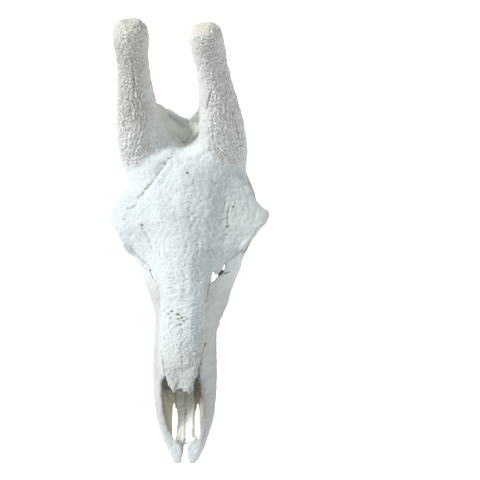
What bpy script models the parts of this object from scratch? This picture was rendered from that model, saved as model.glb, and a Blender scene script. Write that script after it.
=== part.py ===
# Giraffe skull without its lower jaw, life size, lying on its cheek teeth and its jugular processes.
# X is to the animal's left, the muzzle points to -Y, +Z is up, and the floor is Z = 0.
import math

import bmesh
import bpy
from mathutils import Matrix, Vector

# Driving sizes in metres. Stations along the skull are in millimetres behind the muzzle's tips.
MM = 0.001
OVERALL_LENGTH = 588 * MM
OSSICONE_LEAN = math.radians(53)
OSSICONE_REACH = 160
# Where a horn's axis leaves the forehead, behind the muzzle's tips and above the floor
OSSICONE_START = (457, 228)
LEFT_KNOB_RADIUS = 25.5
RIGHT_KNOB_RADIUS = 27
# How far a horn's foot is from the middle, and how far it leans and curves in by its knob
LEFT_OSSICONE = (61, 3, 11)
RIGHT_OSSICONE = (67, 3, 0)
TOOTH_ROW_START = 180
TOOTH_LENGTHS = (20, 21, 21, 27, 29, 28)
TOOTH_WIDTHS = (15, 18, 20, 24, 26, 25)
FOOT_REACH = 78 * MM
SUTURE_GAP = 0.3 * MM
# Half of that gap in millimetres, where two bones meet in the middle
HALF_GAP = 0.15
FINE_VOXEL = 2.2 * MM
TRIANGLES = 8000
FLATNESS = math.radians(1.5)

BONE_COLOUR = (0.80, 0.81, 0.78, 1.0)

# Side outlines of the bones in the middle, as (behind the muzzle's tips, above the floor)
VOMER_UNDERSIDE = [(100, 23), (121, 24.5), (160, 28.5), (220, 34.5), (290, 46), (302, 30), (354, 30)]
VOMER_TOP = [(354, 101), (330, 104), (290, 96), (200, 72), (100, 46)]
FRONTAL_OUTLINE = [(250, 320), (250, 134), (290, 144), (336, 144), (400, 150), (452, 154), (462, 320)]
PALATINE_OUTLINE = [(297, -30), (297, 80), (345, 76), (400, 63), (446, 52), (446, -30)]
OCCIPITAL_OUTLINE = [(436, -40), (436, 64), (496, 70), (512, 100), (520, 260), (700, 260), (700, -40)]


def at(x, y, z):
    """A point from its millimetres across, behind the muzzle's tips and above the floor."""
    return Vector((x * MM, y * MM - OVERALL_LENGTH / 2, z * MM))


def new_object(name, mesh):
    thing = bpy.data.objects.new(name, mesh)
    bpy.context.scene.collection.objects.link(thing)
    return thing


def from_bmesh(name, bm):
    bmesh.ops.recalc_face_normals(bm, faces=bm.faces)
    mesh = bpy.data.meshes.new(name)
    bm.to_mesh(mesh)
    bm.free()
    return new_object(name, mesh)


def skin_rings(name, rings):
    """A closed skin over rings that have the same number of points."""
    bm = bmesh.new()
    made = [[bm.verts.new(p) for p in ring] for ring in rings]
    count = len(made[0])
    for near, far in zip(made, made[1:]):
        for k in range(count):
            bm.faces.new((near[k], near[(k + 1) % count], far[(k + 1) % count], far[k]))
    bm.faces.new(made[0])
    bm.faces.new(made[-1])
    return from_bmesh(name, bm)


def smooth_step(t):
    return t * t * (3 - 2 * t)


def curve_value(before, start, end, after, t):
    """The value this far from start to end on a smooth curve that also fits the values on either side."""
    rise = end - before
    bend = 2 * before - 5 * start + 4 * end - after
    turn = 3 * start - before - 3 * end + after
    return 0.5 * (2 * start + rise * t + bend * t**2 + turn * t**3)


def between(stations, steps):
    """Stations with others worked out between them, on a smooth curve through them all."""
    filled = []
    last = len(stations) - 1
    for k in range(last):
        a, b = stations[max(k - 1, 0)], stations[k]
        c, d = stations[k + 1], stations[min(k + 2, last)]
        for s in range(steps):
            t = s / steps
            filled.append(tuple(curve_value(*four, t) for four in zip(a, b, c, d)))
    return filled + [stations[-1]]


def profile_loft(name, stations, steps=4):
    """A skin over outlines across the skull. A station is its distance behind the muzzle's tips, then its
    half outline as (x, z): the lower points from the middle of the underside out, then the upper ones."""
    flat = [[y] + [value for point in lower + upper for value in point] for y, lower, upper in stations]
    rings = []
    for y, *values in between(flat, steps):
        half = between(list(zip(values[0::2], values[1::2])), 3)
        ring = [at(x, y, z) for x, z in half]
        ring += [at(-x, y, z) for x, z in reversed(half[1:-1])]
        rings.append(ring)
    return skin_rings(name, rings)


def box_loft(name, stations, points=36, steps=4):
    """Rounded sections across the skull. A station is (behind, low, high, half width low, half width high,
    squareness, droop of the sides)."""
    rings = []
    for y, low, high, wide_low, wide_high, square, droop in between(stations, steps):
        ring = []
        for k in range(points):
            turn = 2 * math.pi * k / points
            u = math.copysign(abs(math.cos(turn)) ** (2 / square), math.cos(turn))
            v = math.copysign(abs(math.sin(turn)) ** (2 / square), math.sin(turn))
            wide = wide_low + (wide_high - wide_low) * smooth_step((v + 1) / 2)
            ring.append(at(u * wide, y, (low + high) / 2 + v * (high - low) / 2 - droop * u * u))
        rings.append(ring)
    return skin_rings(name, rings)


def limb(name, stations, points=20, steps=4, side=(1, 0, 0)):
    """A bar of oval sections along a path. A station is (x, y, z, half thickness, half height)."""
    path = between(stations, steps)
    rings = []
    for k, (x, y, z, thick, tall) in enumerate(path):
        before, after = path[max(k - 1, 0)], path[min(k + 1, len(path) - 1)]
        along = Vector([after[i] - before[i] for i in range(3)]).normalized()
        up = along.cross(Vector(side))
        if up.length < 0.2:
            up = along.cross(Vector((0, 1, 0)))
        up.normalize()
        out = up.cross(along)
        ring = []
        for j in range(points):
            turn = 2 * math.pi * j / points
            offset = out * (thick * math.cos(turn)) + up * (tall * math.sin(turn))
            ring.append(at(x + offset.x, y + offset.y, z + offset.z))
        rings.append(ring)
    return skin_rings(name, rings)


def blob(name, centre, radii, turn=(0, 0, 0)):
    """An egg shape with its half sizes in millimetres, turned by degrees about X, then Y, then Z."""
    bm = bmesh.new()
    bmesh.ops.create_uvsphere(bm, u_segments=32, v_segments=20, radius=1)
    rotate = Matrix.Identity(4)
    for angle, axis in zip(turn, "XYZ"):
        rotate = Matrix.Rotation(math.radians(angle), 4, axis) @ rotate
    size = Matrix.Diagonal((radii[0] * MM, radii[1] * MM, radii[2] * MM, 1))
    bm.transform(Matrix.Translation(at(*centre)) @ rotate @ size)
    return from_bmesh(name, bm)


def ring_bar(name, centre, normal, radius, thick, deep, points=40):
    """A closed ring, such as the rim of an eye socket, facing along normal."""
    facing = Vector(normal).normalized()
    right = facing.cross(Vector((0, 0, 1))).normalized()
    up = right.cross(facing)
    bm = bmesh.new()
    made = []
    for k in range(points):
        turn = 2 * math.pi * k / points
        spoke = right * math.cos(turn) + up * math.sin(turn)
        ring = []
        for j in range(12):
            roll = 2 * math.pi * j / 12
            offset = spoke * (radius + thick * math.cos(roll)) + facing * (deep * math.sin(roll))
            ring.append(bm.verts.new(at(*(Vector(centre) + offset))))
        made.append(ring)
    for k in range(points):
        near, far = made[k], made[(k + 1) % points]
        for j in range(12):
            bm.faces.new((near[j], near[(j + 1) % 12], far[(j + 1) % 12], far[j]))
    return from_bmesh(name, bm)


def both_sides(thing):
    """The object and its mirror image on the animal's right."""
    mesh = thing.data.copy()
    mesh.transform(Matrix.Diagonal((-1, 1, 1, 1)))
    mesh.flip_normals()
    return [thing, new_object(thing.name + "_mirrored", mesh)]


def fused(name, things, voxel, smoothing):
    """One closed skin round all of these objects, which are used up."""
    bm = bmesh.new()
    for thing in things:
        bm.from_mesh(thing.data)
        bpy.data.objects.remove(thing)
    mesh = bpy.data.meshes.new(name)
    bm.to_mesh(mesh)
    bm.free()
    whole = new_object(name, mesh)
    skin = whole.modifiers.new("Skin", "REMESH")
    skin.mode = "VOXEL"
    skin.voxel_size = voxel
    if smoothing:
        soften = whole.modifiers.new("Soften", "SMOOTH")
        soften.factor = 0.5
        soften.iterations = smoothing
    return applied(whole)


def applied(thing):
    """The object with its modifiers made part of its mesh."""
    bpy.context.view_layer.update()
    graph = bpy.context.evaluated_depsgraph_get()
    mesh = bpy.data.meshes.new_from_object(thing.evaluated_get(graph))
    thing.modifiers.clear()
    thing.data = mesh
    return thing


def boolean(thing, tool, operation, solver="MANIFOLD"):
    """The object with the tool joined on, cut out or kept. The tool is used up."""
    step = thing.modifiers.new("Step", "BOOLEAN")
    step.operation = operation
    step.solver = solver
    step.object = tool
    applied(thing)
    bpy.data.objects.remove(tool)
    return thing


def cranium_form():
    """The face, forehead and braincase. Past the snout the outline turns under the eye socket's roof."""
    return profile_loft(
        "cranium",
        (
            (
                1,
                ((0, 8), (5, 7), (10, 7), (14, 8), (17, 10), (18, 12), (18, 13)),
                ((17, 14), (15, 15), (12, 16), (8, 16), (4, 16), (0, 16)),
            ),
            (
                24,
                ((0, 7), (10, 6), (20, 6), (26, 8), (29, 12), (30, 16), (30, 20)),
                ((29, 23), (27, 26), (24, 28), (18, 28), (8, 28), (0, 28)),
            ),
            (
                52,
                ((0, 9), (14, 8), (26, 8), (34, 11), (38, 16), (40, 22), (40, 28)),
                ((38, 34), (35, 39), (31, 42), (20, 42), (10, 42), (0, 42)),
            ),
            (
                87,
                ((0, 12), (18, 10), (32, 10), (41, 14), (46, 22), (48, 32), (48, 41)),
                ((46, 50), (42, 59), (36, 66), (28, 68), (14, 68), (0, 68)),
            ),
            (
                116,
                ((0, 14), (20, 12), (35, 12), (45, 16), (49, 26), (50, 38), (49, 50)),
                ((47, 61), (43, 73), (37, 83), (29, 90), (16, 91), (0, 91)),
            ),
            (
                126,
                ((0, 14), (20, 12), (35, 12), (45, 16), (49, 26), (50, 39), (49, 51)),
                ((47, 64), (43, 76), (38, 88), (29, 99), (15, 107), (0, 110)),
            ),
            (
                150,
                ((0, 16), (20, 14), (35, 14), (45, 18), (49, 29), (50, 43), (49, 56)),
                ((47, 70), (44, 83), (39, 97), (31, 109), (16, 117), (0, 120)),
            ),
            (
                190,
                ((0, 20), (20, 18), (30, 15), (37, 19), (45, 31), (48, 46), (47, 61)),
                ((46, 77), (44, 93), (40, 108), (32, 121), (17, 130), (0, 133)),
            ),
            (
                217,
                ((0, 24), (20, 22), (32, 16), (39, 20), (45, 32), (48, 48), (48, 65)),
                ((47, 83), (45, 100), (41, 115), (33, 129), (18, 139), (0, 142)),
            ),
            (
                250,
                ((0, 28), (26, 26), (40, 17), (50, 21), (57, 36), (60, 54), (60, 74)),
                ((57, 94), (54, 112), (49, 127), (38, 142), (20, 152), (0, 156)),
            ),
            (
                285,
                ((0, 32), (30, 30), (46, 18), (56, 24), (64, 42), (70, 60), (75, 80)),
                ((76, 102), (72, 121), (61, 137), (46, 151), (26, 166), (0, 171)),
            ),
            (
                312,
                ((0, 40), (30, 38), (48, 20), (58, 26), (64, 46), (71, 70), (82, 92)),
                ((84, 112), (85, 132), (92, 151), (58, 163), (32, 177), (0, 183)),
            ),
            (
                334,
                ((0, 56), (26, 56), (36, 60), (38, 76), (42, 92), (44, 108), (54, 128)),
                ((74, 150), (107, 157), (109, 167), (58, 178), (34, 190), (0, 195)),
            ),
            (
                354,
                ((0, 80), (22, 80), (30, 84), (31, 98), (32, 112), (34, 128), (44, 146)),
                ((84, 158), (118, 157), (121, 166), (62, 187), (37, 202), (0, 207)),
            ),
            (
                400,
                ((0, 78), (22, 78), (32, 84), (34, 98), (36, 112), (38, 128), (46, 146)),
                ((72, 162), (94, 174), (98, 184), (68, 203), (40, 219), (0, 225)),
            ),
            (
                434,
                ((0, 72), (24, 72), (38, 80), (44, 96), (48, 114), (50, 132), (54, 150)),
                ((72, 164), (92, 176), (96, 190), (72, 217), (32, 231), (0, 229)),
            ),
            (
                448,
                ((0, 70), (24, 70), (42, 78), (52, 95), (56, 113), (56, 131), (58, 150)),
                ((70, 165), (90, 178), (96, 193), (62, 234), (22, 233), (0, 219)),
            ),
            (
                462,
                ((0, 66), (26, 66), (48, 76), (58, 94), (60, 112), (60, 130), (60, 148)),
                ((66, 166), (83, 180), (90, 197), (48, 256), (22, 222), (0, 200)),
            ),
            (
                478,
                ((0, 63), (28, 63), (50, 75), (60, 93), (62, 112), (61, 129), (60, 147)),
                ((62, 164), (73, 178), (79, 196), (56, 258), (28, 214), (0, 185)),
            ),
            (
                500,
                ((0, 60), (30, 60), (52, 74), (62, 92), (63, 110), (62, 128), (61, 148)),
                ((61, 168), (63, 188), (62, 210), (52, 232), (27, 192), (0, 165)),
            ),
            (
                524,
                ((0, 57), (32, 59), (55, 76), (65, 94), (67, 110), (65, 126), (62, 142)),
                ((59, 158), (56, 174), (51, 188), (40, 184), (19, 155), (0, 142)),
            ),
            (
                547,
                ((0, 58), (30, 60), (48, 76), (56, 92), (57, 104), (56, 114), (53, 124)),
                ((49, 134), (43, 141), (36, 138), (26, 124), (12, 112), (0, 108)),
            ),
        ),
    )


def socket_forms():
    """The bone that the cheek teeth grow from, which spreads apart towards the back of the palate."""
    sockets = box_loft(
        "sockets",
        (
            (172, 15, 34, 4, 4, 2.5, 0),
            (205, 13, 46, 8.5, 8.5, 2.5, 0),
            (255, 12, 60, 12, 12, 2.5, 0),
            (305, 12, 72, 13.5, 13.5, 2.5, 0),
            (334, 15, 76, 9, 9, 2.5, 0),
        ),
    )
    for vert in sockets.data.vertices:
        vert.co.x += tooth_row_centre((vert.co.y + OVERALL_LENGTH / 2) / MM) * MM
    return both_sides(sockets)


def tooth_row_centre(behind):
    """How far the middle of the tooth row is from the middle of the palate."""
    return 29 + 17 * smooth_step(min(max((behind - 172) / 165, 0), 1))


def ossicone_axis_point(reach, shape, back):
    """The middle of an ossicone, this far along its axis from where it leaves the forehead."""
    foot, lean, curve = shape
    share = reach / OSSICONE_REACH
    return (
        foot - lean * share - curve * share * abs(share),
        OSSICONE_START[0] + reach * math.cos(OSSICONE_LEAN) + back * math.sin(OSSICONE_LEAN),
        OSSICONE_START[1] + reach * math.sin(OSSICONE_LEAN) - back * math.cos(OSSICONE_LEAN),
    )


def ossicone_form(name, shape, knob, size):
    """A horn of bone. A station is its reach, half width, half depth and shift to the back."""
    stations = []
    for reach, across, fore_and_aft, back in (
        (-70, 26, 28, 12),
        (-40, 36, 36, 11),
        (-5, 38, 37, 8),
        (30, 34, 33, 4),
        (60, 30, 30, 2),
        (88, 26.5, 27, 0),
        (108, 24.4, 25, 0),
        (126, 23.8, 24.5, 0),
        (143, 24.8, 25, 0),
        (156, knob, knob, 0),
        (171, knob, knob, 0),
        (182, knob - 3, knob - 3, 0),
        (190, knob - 12, knob - 12, 0),
    ):
        stations.append((*ossicone_axis_point(reach * size, shape, back), across, fore_and_aft))
    return limb(name, stations, points=28, steps=3)


def soften_feet(skull):
    """The creases where the horns leave the forehead smoothed away."""
    feet = [at(side * 64, 436, 218) for side in (1, -1)]
    weights = skull.vertex_groups.new(name="feet")
    for vert in skull.data.vertices:
        far = min((vert.co - foot).length for foot in feet)
        if far < FOOT_REACH:
            weights.add([vert.index], smooth_step(1 - far / FOOT_REACH), "REPLACE")
    soften = skull.modifiers.new("Feet", "SMOOTH")
    soften.vertex_group = weights.name
    soften.factor = 0.9
    soften.iterations = 220
    return applied(skull)


def mirrored(thing):
    thing.data.transform(Matrix.Diagonal((-1, 1, 1, 1)))
    thing.data.flip_normals()
    return thing


def ossicone_forms():
    """Both horns. The left one curves in and has a smaller knob, and the right one stands further out."""
    left = ossicone_form("ossicone_left", LEFT_OSSICONE, LEFT_KNOB_RADIUS, 0.96)
    right = mirrored(ossicone_form("ossicone_right", RIGHT_OSSICONE, RIGHT_KNOB_RADIUS, 1))
    return [left, right]


def orbit_forms():
    """The rim of the eye socket, the bar behind it and the cheek bone's arch."""
    rim = ring_bar("rim", (95, 334, 125.5), (0.80, -0.49, -0.30), 33.5, 5.5, 6)
    bar = limb(
        "bar",
        (
            (114, 361, 165, 9, 12),
            (117, 364, 152, 7, 9),
            (115, 366, 134, 6, 8),
            (109, 365, 114, 6, 9),
            (101, 362, 100, 6, 10),
        ),
    )
    arch = limb(
        "arch",
        (
            (54, 256, 58, 7, 16),
            (62, 278, 68, 8, 20),
            (70, 300, 82, 8, 20),
            (79, 320, 94, 7, 15),
            (89, 342, 99, 7, 12),
            (100, 366, 99, 6, 11),
            (103, 390, 95, 6, 10),
            (99, 414, 91, 6, 8),
            (90, 440, 89, 8, 9),
            (74, 466, 94, 11, 12),
        ),
    )
    return both_sides(rim) + both_sides(bar) + both_sides(arch)


def braincase_forms():
    crest = limb(
        "crest",
        (
            (-66, 516, 104, 7, 12),
            (-61, 528, 130, 7, 12),
            (-45, 541, 163, 7, 9),
            (-22, 534, 152, 6, 7),
            (-5, 526, 143, 6, 7),
            (11, 534, 157, 6, 7),
            (24, 539, 165, 6, 8),
            (45, 541, 163, 7, 9),
            (61, 528, 130, 7, 12),
            (66, 516, 104, 7, 12),
        ),
        side=(0, 1, 0),
    )
    ridge = limb(
        "ridge",
        (
            (58, 484, 240, 22, 26),
            (51, 506, 218, 14, 20),
            (47, 525, 189, 10, 14),
            (45, 539, 163, 7, 10),
        ),
    )
    temple = blob("temple", (66, 478, 92), (14, 30, 18))
    bulla = blob("bulla", (43, 494, 50), (12, 20, 18), (20, 0, 0))
    return [crest] + both_sides(ridge) + both_sides(temple) + both_sides(bulla)


def skull_base_forms():
    base = box_loft(
        "base",
        (
            (352, 70, 100, 24, 30, 2.4, 0),
            (400, 60, 92, 20, 30, 2.4, 0),
            (450, 48, 84, 19, 34, 2.4, 0),
            (500, 36, 80, 24, 40, 2.4, 0),
            (545, 32, 84, 30, 40, 2.4, 0),
            (562, 36, 80, 34, 36, 2.4, 0),
        ),
    )
    condyle = blob("condyle", (26, 566, 47), (17, 22, 25), (22, -14, 16))
    jugular = limb(
        "jugular",
        (
            (57, 520, 92, 12, 20),
            (57, 532, 64, 8, 16),
            (55, 540, 36, 5.5, 13),
            (53, 544, 14, 5, 10),
            (52, 545, -5, 4.5, 8),
        ),
    )
    pterygoid = limb(
        "pterygoid",
        (
            (24, 318, 34, 4, 14),
            (24, 345, 46, 4, 24),
            (23, 375, 56, 4, 30),
            (24, 405, 66, 5, 24),
            (26, 440, 72, 7, 12),
        ),
    )
    nape = limb(
        "nape",
        (
            (0, 556, 90, 16, 10),
            (0, 548, 112, 9, 8),
            (0, 532, 134, 7, 8),
        ),
    )
    hamulus = limb(
        "hamulus",
        (
            (24, 384, 52, 4, 9),
            (25, 392, 32, 3.5, 6),
            (27, 398, 18, 3, 4),
        ),
    )
    paired = [condyle, jugular, pterygoid, hamulus]
    return [base, nape] + [half for thing in paired for half in both_sides(thing)]


def hollow_forms():
    """What is cut out: eye sockets, the nose and its openings, the palate's hollow, the brain's way in."""
    socket = blob("socket", (90, 337, 127), (29, 29, 42), (0, 90, -31))
    nose = box_loft(
        "nose",
        (
            (26, 24, 50, 8, 12, 2.6, 0),
            (52, 18, 70, 23, 28, 2.6, 0),
            (87, 18, 100, 28, 33, 2.6, 0),
            (110, 20, 130, 34, 28, 2.6, 0),
            (121, 22, 101, 40, 27, 2.6, 0),
            (160, 26, 112, 41, 31, 2.6, 0),
            (220, 32, 132, 38, 32, 2.6, 0),
            (290, 44, 150, 34, 30, 2.6, 0),
        ),
    )
    tips_gap = box_loft(
        "tips_gap",
        (
            (-12, -10, 40, 8, 8, 4, 0),
            (3, -10, 40, 6.2, 6.2, 4, 0),
            (14, -10, 40, 4.6, 4.6, 4, 0),
            (26, -10, 40, 3.6, 3.6, 4, 0),
            (34, -10, 40, 1, 1, 4, 0),
        ),
    )
    fissure = blob("fissure", (17, 64, 14), (3.6, 32, 26))
    vacuity = limb(
        "vacuity",
        (
            (54, 246, 176, 4, 12),
            (52, 262, 142, 5, 14),
            (46, 278, 105, 7, 14),
            (38, 300, 60, 9, 14),
            (31, 326, 10, 9, 14),
        ),
    )
    choana = box_loft(
        "choana",
        (
            (300, 46, 90, 16, 16, 2.4, 0),
            (345, 30, 84, 19, 19, 2.4, 0),
            (400, 10, 70, 20, 19, 2.4, 0),
            (440, 0, 60, 22, 22, 2.4, 0),
        ),
    )
    palate = box_loft(
        "palate",
        (
            (130, -30, 10, 16, 16, 2.4, 0),
            (190, -30, 22, 27, 24, 2.4, 0),
            (240, -30, 27, 32, 28, 2.4, 0),
            (300, -30, 30, 36, 30, 2.4, 0),
            (335, -30, 34, 38, 26, 2.4, 0),
        ),
    )
    brain_way = blob("brain_way", (0, 560, 66), (19, 42, 17), (-20, 0, 0))
    halves = [half for thing in (socket, fissure, vacuity) for half in both_sides(thing)]
    return [nose, tips_gap, choana, palate, brain_way] + halves


def late_forms():
    """Parts that reach over the hollows: the nasal bones' ends and the plate on the floor of the nose."""
    nasal_end = limb(
        "nasal_end",
        (
            (13.5, 89, 97, 1.5, 1.5),
            (11.5, 97, 98, 5.5, 3),
            (10.5, 103, 99, 9.5, 3.5),
            (11.5, 111, 100, 12, 4),
            (13, 122, 102, 14, 5),
            (14, 142, 105, 14, 5),
        ),
    )
    plate = box_loft(
        "plate",
        (
            (120, 18, 34, 2.8, 2.4, 3, 0),
            (200, 22, 56, 2.8, 2.4, 3, 0),
            (330, 44, 90, 2.8, 2.4, 3, 0),
            (380, 62, 92, 2.8, 2.4, 3, 0),
        ),
    )
    return both_sides(nasal_end) + [plate]


def ground_cut(skull):
    """The tips of the jugular processes made flat where they stand."""
    slab = prism("slab", [(-100, -60), (900, -60), (900, 0), (-100, 0)], -300, 300)
    return boolean(skull, slab, "DIFFERENCE")


def prism(name, outline, start, end):
    """A bar across the skull from its outline as (behind the muzzle's tips, above the floor)."""
    return skin_rings(name, [[at(x, y, z) for y, z in outline] for x in (start, end)])


def sloped_prism(name, outline, level, slope, height):
    """An upright bar from its (across, behind) outline, with a floor that rises towards the back."""
    low = [at(x, y, level + slope * y) for x, y in outline]
    high = [at(x, y, level + slope * y + height) for x, y in outline]
    return skin_rings(name, [low, high])


def grown(thing, by):
    """A copy of the object that is larger by this much on each side."""
    bm = bmesh.new()
    bm.from_mesh(thing.data)
    bm.normal_update()
    for vert, far in [(v, v.co + v.normal * v.calc_shell_factor() * by) for v in bm.verts]:
        vert.co = far
    return from_bmesh(thing.name + "_grown", bm)


def largest_shell(thing):
    """Crumbs that a cut leaves behind are dropped."""
    bm = bmesh.new()
    bm.from_mesh(thing.data)
    unseen = set(bm.verts)
    shells = []
    while unseen:
        shell = {unseen.pop()}
        edge = list(shell)
        while edge:
            vert = edge.pop()
            for link in vert.link_edges:
                other = link.other_vert(vert)
                if other in unseen:
                    unseen.discard(other)
                    shell.add(other)
                    edge.append(other)
        shells.append(shell)
    shells.sort(key=len)
    bmesh.ops.delete(bm, geom=[v for shell in shells[:-1] for v in shell], context="VERTS")
    bm.to_mesh(thing.data)
    bm.free()
    return thing


def copied(thing, name):
    return new_object(name, thing.data.copy())


def part_off(rest, name, region):
    """The bone inside the region, named, and what is left of the skull a hair's breadth away from it."""
    piece = copied(rest, name)
    wide = grown(region, SUTURE_GAP)
    boolean(piece, region, "INTERSECT", "EXACT")
    boolean(rest, wide, "DIFFERENCE", "EXACT")
    return tidied(largest_shell(piece))


def tidied(thing):
    """Flat faces joined up and slivers along the cuts taken away, as far as the surface stays closed."""
    for nearness in (0.1 * MM, 0.03 * MM, 0.01 * MM, 0):
        bm = bmesh.new()
        bm.from_mesh(thing.data)
        bmesh.ops.remove_doubles(bm, verts=bm.verts, dist=nearness)
        bmesh.ops.dissolve_limit(bm, angle_limit=FLATNESS, verts=bm.verts, edges=bm.edges)
        bmesh.ops.triangulate(bm, faces=bm.faces)
        closed = all(edge.is_manifold for edge in bm.edges)
        if closed:
            bm.to_mesh(thing.data)
        bm.free()
        if closed:
            break
    return thing


def ossicone_region(side):
    """Everything on one side above a plane across the horn's foot."""
    reach = 24
    foot = Vector(ossicone_axis_point(reach, LEFT_OSSICONE, 0))
    along = Vector((0, math.cos(OSSICONE_LEAN), math.sin(OSSICONE_LEAN)))
    over = Vector((0, -math.sin(OSSICONE_LEAN), math.cos(OSSICONE_LEAN)))
    rings = []
    for far in (0, 260):
        ring = []
        for x, shift in ((4, -120), (4, 120), (160, 120), (160, -120)):
            spot = foot + along * far + over * shift
            ring.append(at(side * x, spot.y, spot.z))
        rings.append(ring)
    return skin_rings("region", rings)


def nasal_region(side):
    outer = [(40, 60), (40, 108), (28, 124), (31, 150), (34, 190), (34, 220), (28, 246)]
    outline = [(HALF_GAP, 60)] + outer + [(14, 258), (HALF_GAP, 254)]
    return sloped_prism("region", [(side * x, y) for x, y in outline], 48, 0.343, 120)


def side_region(side, outline, inner):
    return prism("region", outline, side * inner, side * 220)


def middle_region(outline, reach):
    return prism("region", outline, -reach, reach)


def premaxilla_region(side):
    outline = [(-60, -30), (100, -30), (105, 14), (116, 50), (126, 84), (122, 150), (-60, 150)]
    return side_region(side, outline, HALF_GAP)


def zygomatic_region(side):
    outline = [(284, 50), (288, 92), (304, 118), (346, 122), (350, 154), (388, 154), (394, 104), (402, 60)]
    return side_region(side, outline, 60)


def lacrimal_region(side):
    outline = [(286, 100), (276, 140), (290, 152), (316, 162), (340, 150), (330, 122.4), (303, 118.7)]
    return side_region(side, outline, 50)


def temporal_region(side):
    outline = [(403, 50), (396, 124), (440, 130), (505, 132), (512, 74), (488, 64)]
    return side_region(side, outline, 54)


def maxilla_region(side):
    outline = [(80, -40), (344, -40), (344, 90), (350, 180), (80, 180)]
    return side_region(side, outline, HALF_GAP)


def tooth_lobe(name, centre, length, width, side):
    """One fold of a cheek tooth, a rounded column with a rib on its cheek side, flat where it bites."""
    rings = []
    for level, size in ((0, 0.82), (2, 1.0), (24, 0.84)):
        ring = []
        for k in range(12):
            turn = 2 * math.pi * k / 12
            u = math.copysign(abs(math.cos(turn)) ** 0.75, math.cos(turn))
            v = math.copysign(abs(math.sin(turn)) ** 0.75, math.sin(turn))
            rib = 1 + 0.10 * max(u, 0) * (1 if k in (0, 2, 10) else -0.4)
            across = centre[0] + size * rib * u * width / 2
            ring.append(at(side * across, centre[1] + size * v * length / 2, level))
        rings.append(ring)
    return skin_rings(name, rings)


def tooth_row(side):
    """The six cheek teeth of one side, premolars with one fold and molars with two."""
    lobes = []
    behind = TOOTH_ROW_START
    for number, (length, width) in enumerate(zip(TOOTH_LENGTHS, TOOTH_WIDTHS)):
        folds = 1 if number < 3 else 2
        for fold in range(folds):
            middle = behind + length * (fold + 0.5) / folds
            centre = (tooth_row_centre(middle), middle)
            # The folds reach into each other a little, and a molar's second fold is narrower
            long = length / folds + 0.7
            wide = width * (1 - 0.05 * fold)
            lobes.append(tooth_lobe(f"lobe_{number}_{fold}", centre, long, wide, side))
        behind += length
    return lobes


def add_teeth(maxilla, side):
    """The teeth made one body with the bone they grow from."""
    box = bpy.data.collections.new(f"teeth_{side}")
    for lobe in tooth_row(side):
        box.objects.link(lobe)
    step = maxilla.modifiers.new("Teeth", "BOOLEAN")
    step.operation = "UNION"
    step.solver = "MANIFOLD"
    step.operand_type = "COLLECTION"
    step.collection = box
    applied(maxilla)
    for lobe in list(box.objects):
        bpy.data.objects.remove(lobe)
    bpy.data.collections.remove(box)
    return largest_shell(maxilla)


def divide(skull):
    """The skull parted into its bones."""
    bones = []

    def take(name, region):
        bones.append(part_off(skull, name, region))

    def take_both(name, make):
        for side, label in ((1, "left"), (-1, "right")):
            take(f"{name}_{label}", make(side))

    take_both("ossicone", ossicone_region)
    take_both("nasal_bone", nasal_region)
    take_both("premaxilla", premaxilla_region)
    take("vomer", middle_region(VOMER_UNDERSIDE + VOMER_TOP, 4))
    take_both("zygomatic", zygomatic_region)
    take_both("lacrimal", lacrimal_region)
    take_both("temporal", temporal_region)
    take("frontal_bone", middle_region(FRONTAL_OUTLINE, 240))
    take("palatine_bone", middle_region(PALATINE_OUTLINE, 30.5))
    take_both("maxilla", maxilla_region)
    take("occipital_bone", middle_region(OCCIPITAL_OUTLINE, 240))
    skull.name = "braincase"
    bones.append(tidied(largest_shell(skull)))
    return bones


def main():
    for thing in list(bpy.data.objects):
        bpy.data.objects.remove(thing)
    forms = (
        [cranium_form()]
        + socket_forms()
        + ossicone_forms()
        + orbit_forms()
        + braincase_forms()
        + skull_base_forms()
    )
    skull = soften_feet(fused("skull", forms, FINE_VOXEL, 6))
    hollows = fused("hollows", hollow_forms(), FINE_VOXEL, 2)
    boolean(skull, hollows, "DIFFERENCE")
    skull = fused("skull", [skull] + late_forms(), FINE_VOXEL, 2)
    largest_shell(skull)
    thin = skull.modifiers.new("Thin", "DECIMATE")
    thin.ratio = TRIANGLES / (2 * len(skull.data.polygons))
    applied(skull)
    ground_cut(skull)
    bones = divide(skull)
    for bone in bones:
        if bone.name.startswith("maxilla"):
            add_teeth(bone, 1 if bone.name.endswith("left") else -1)
    finish(bones)


def unevenness(behind):
    """How far the skull bends to its left at a station, in millimetres, as real ones do a little."""
    snout = -3.2 * math.exp(-(((behind - 165) / 62) ** 2))
    tips = 1.8 * math.exp(-((behind / 40) ** 2))
    sockets = 4.0 * math.exp(-(((behind - 350) / 42) ** 2))
    return snout + tips + sockets


def finish(bones):
    """The bones set down with the origin under the middle of their box, each with its material."""
    spots = [vert.co for bone in bones for vert in bone.data.vertices]
    for spot in spots:
        spot.x += unevenness((spot.y + OVERALL_LENGTH / 2) / MM) * MM
    low = [min(spot[k] for spot in spots) for k in range(3)]
    high = [max(spot[k] for spot in spots) for k in range(3)]
    move = Matrix.Translation((-(low[0] + high[0]) / 2, -(low[1] + high[1]) / 2, -low[2]))
    material = bpy.data.materials.new("Bone")
    material.use_nodes = True
    shader = material.node_tree.nodes["Principled BSDF"]
    shader.inputs["Base Color"].default_value = BONE_COLOUR
    shader.inputs["Roughness"].default_value = 0.7
    for bone in bones:
        bone.data.transform(move)
        bone.data.materials.clear()
        bone.data.materials.append(material)
        bone.data.name = bone.name


main()
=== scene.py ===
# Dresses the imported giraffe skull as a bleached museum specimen. All sizes are in metres unless a note says mm.
import itertools
import math

import bmesh
import bpy
import numpy as np
from mathutils import Matrix, Vector
from mathutils.bvhtree import BVHTree
from mathutils.kdtree import KDTree


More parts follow.
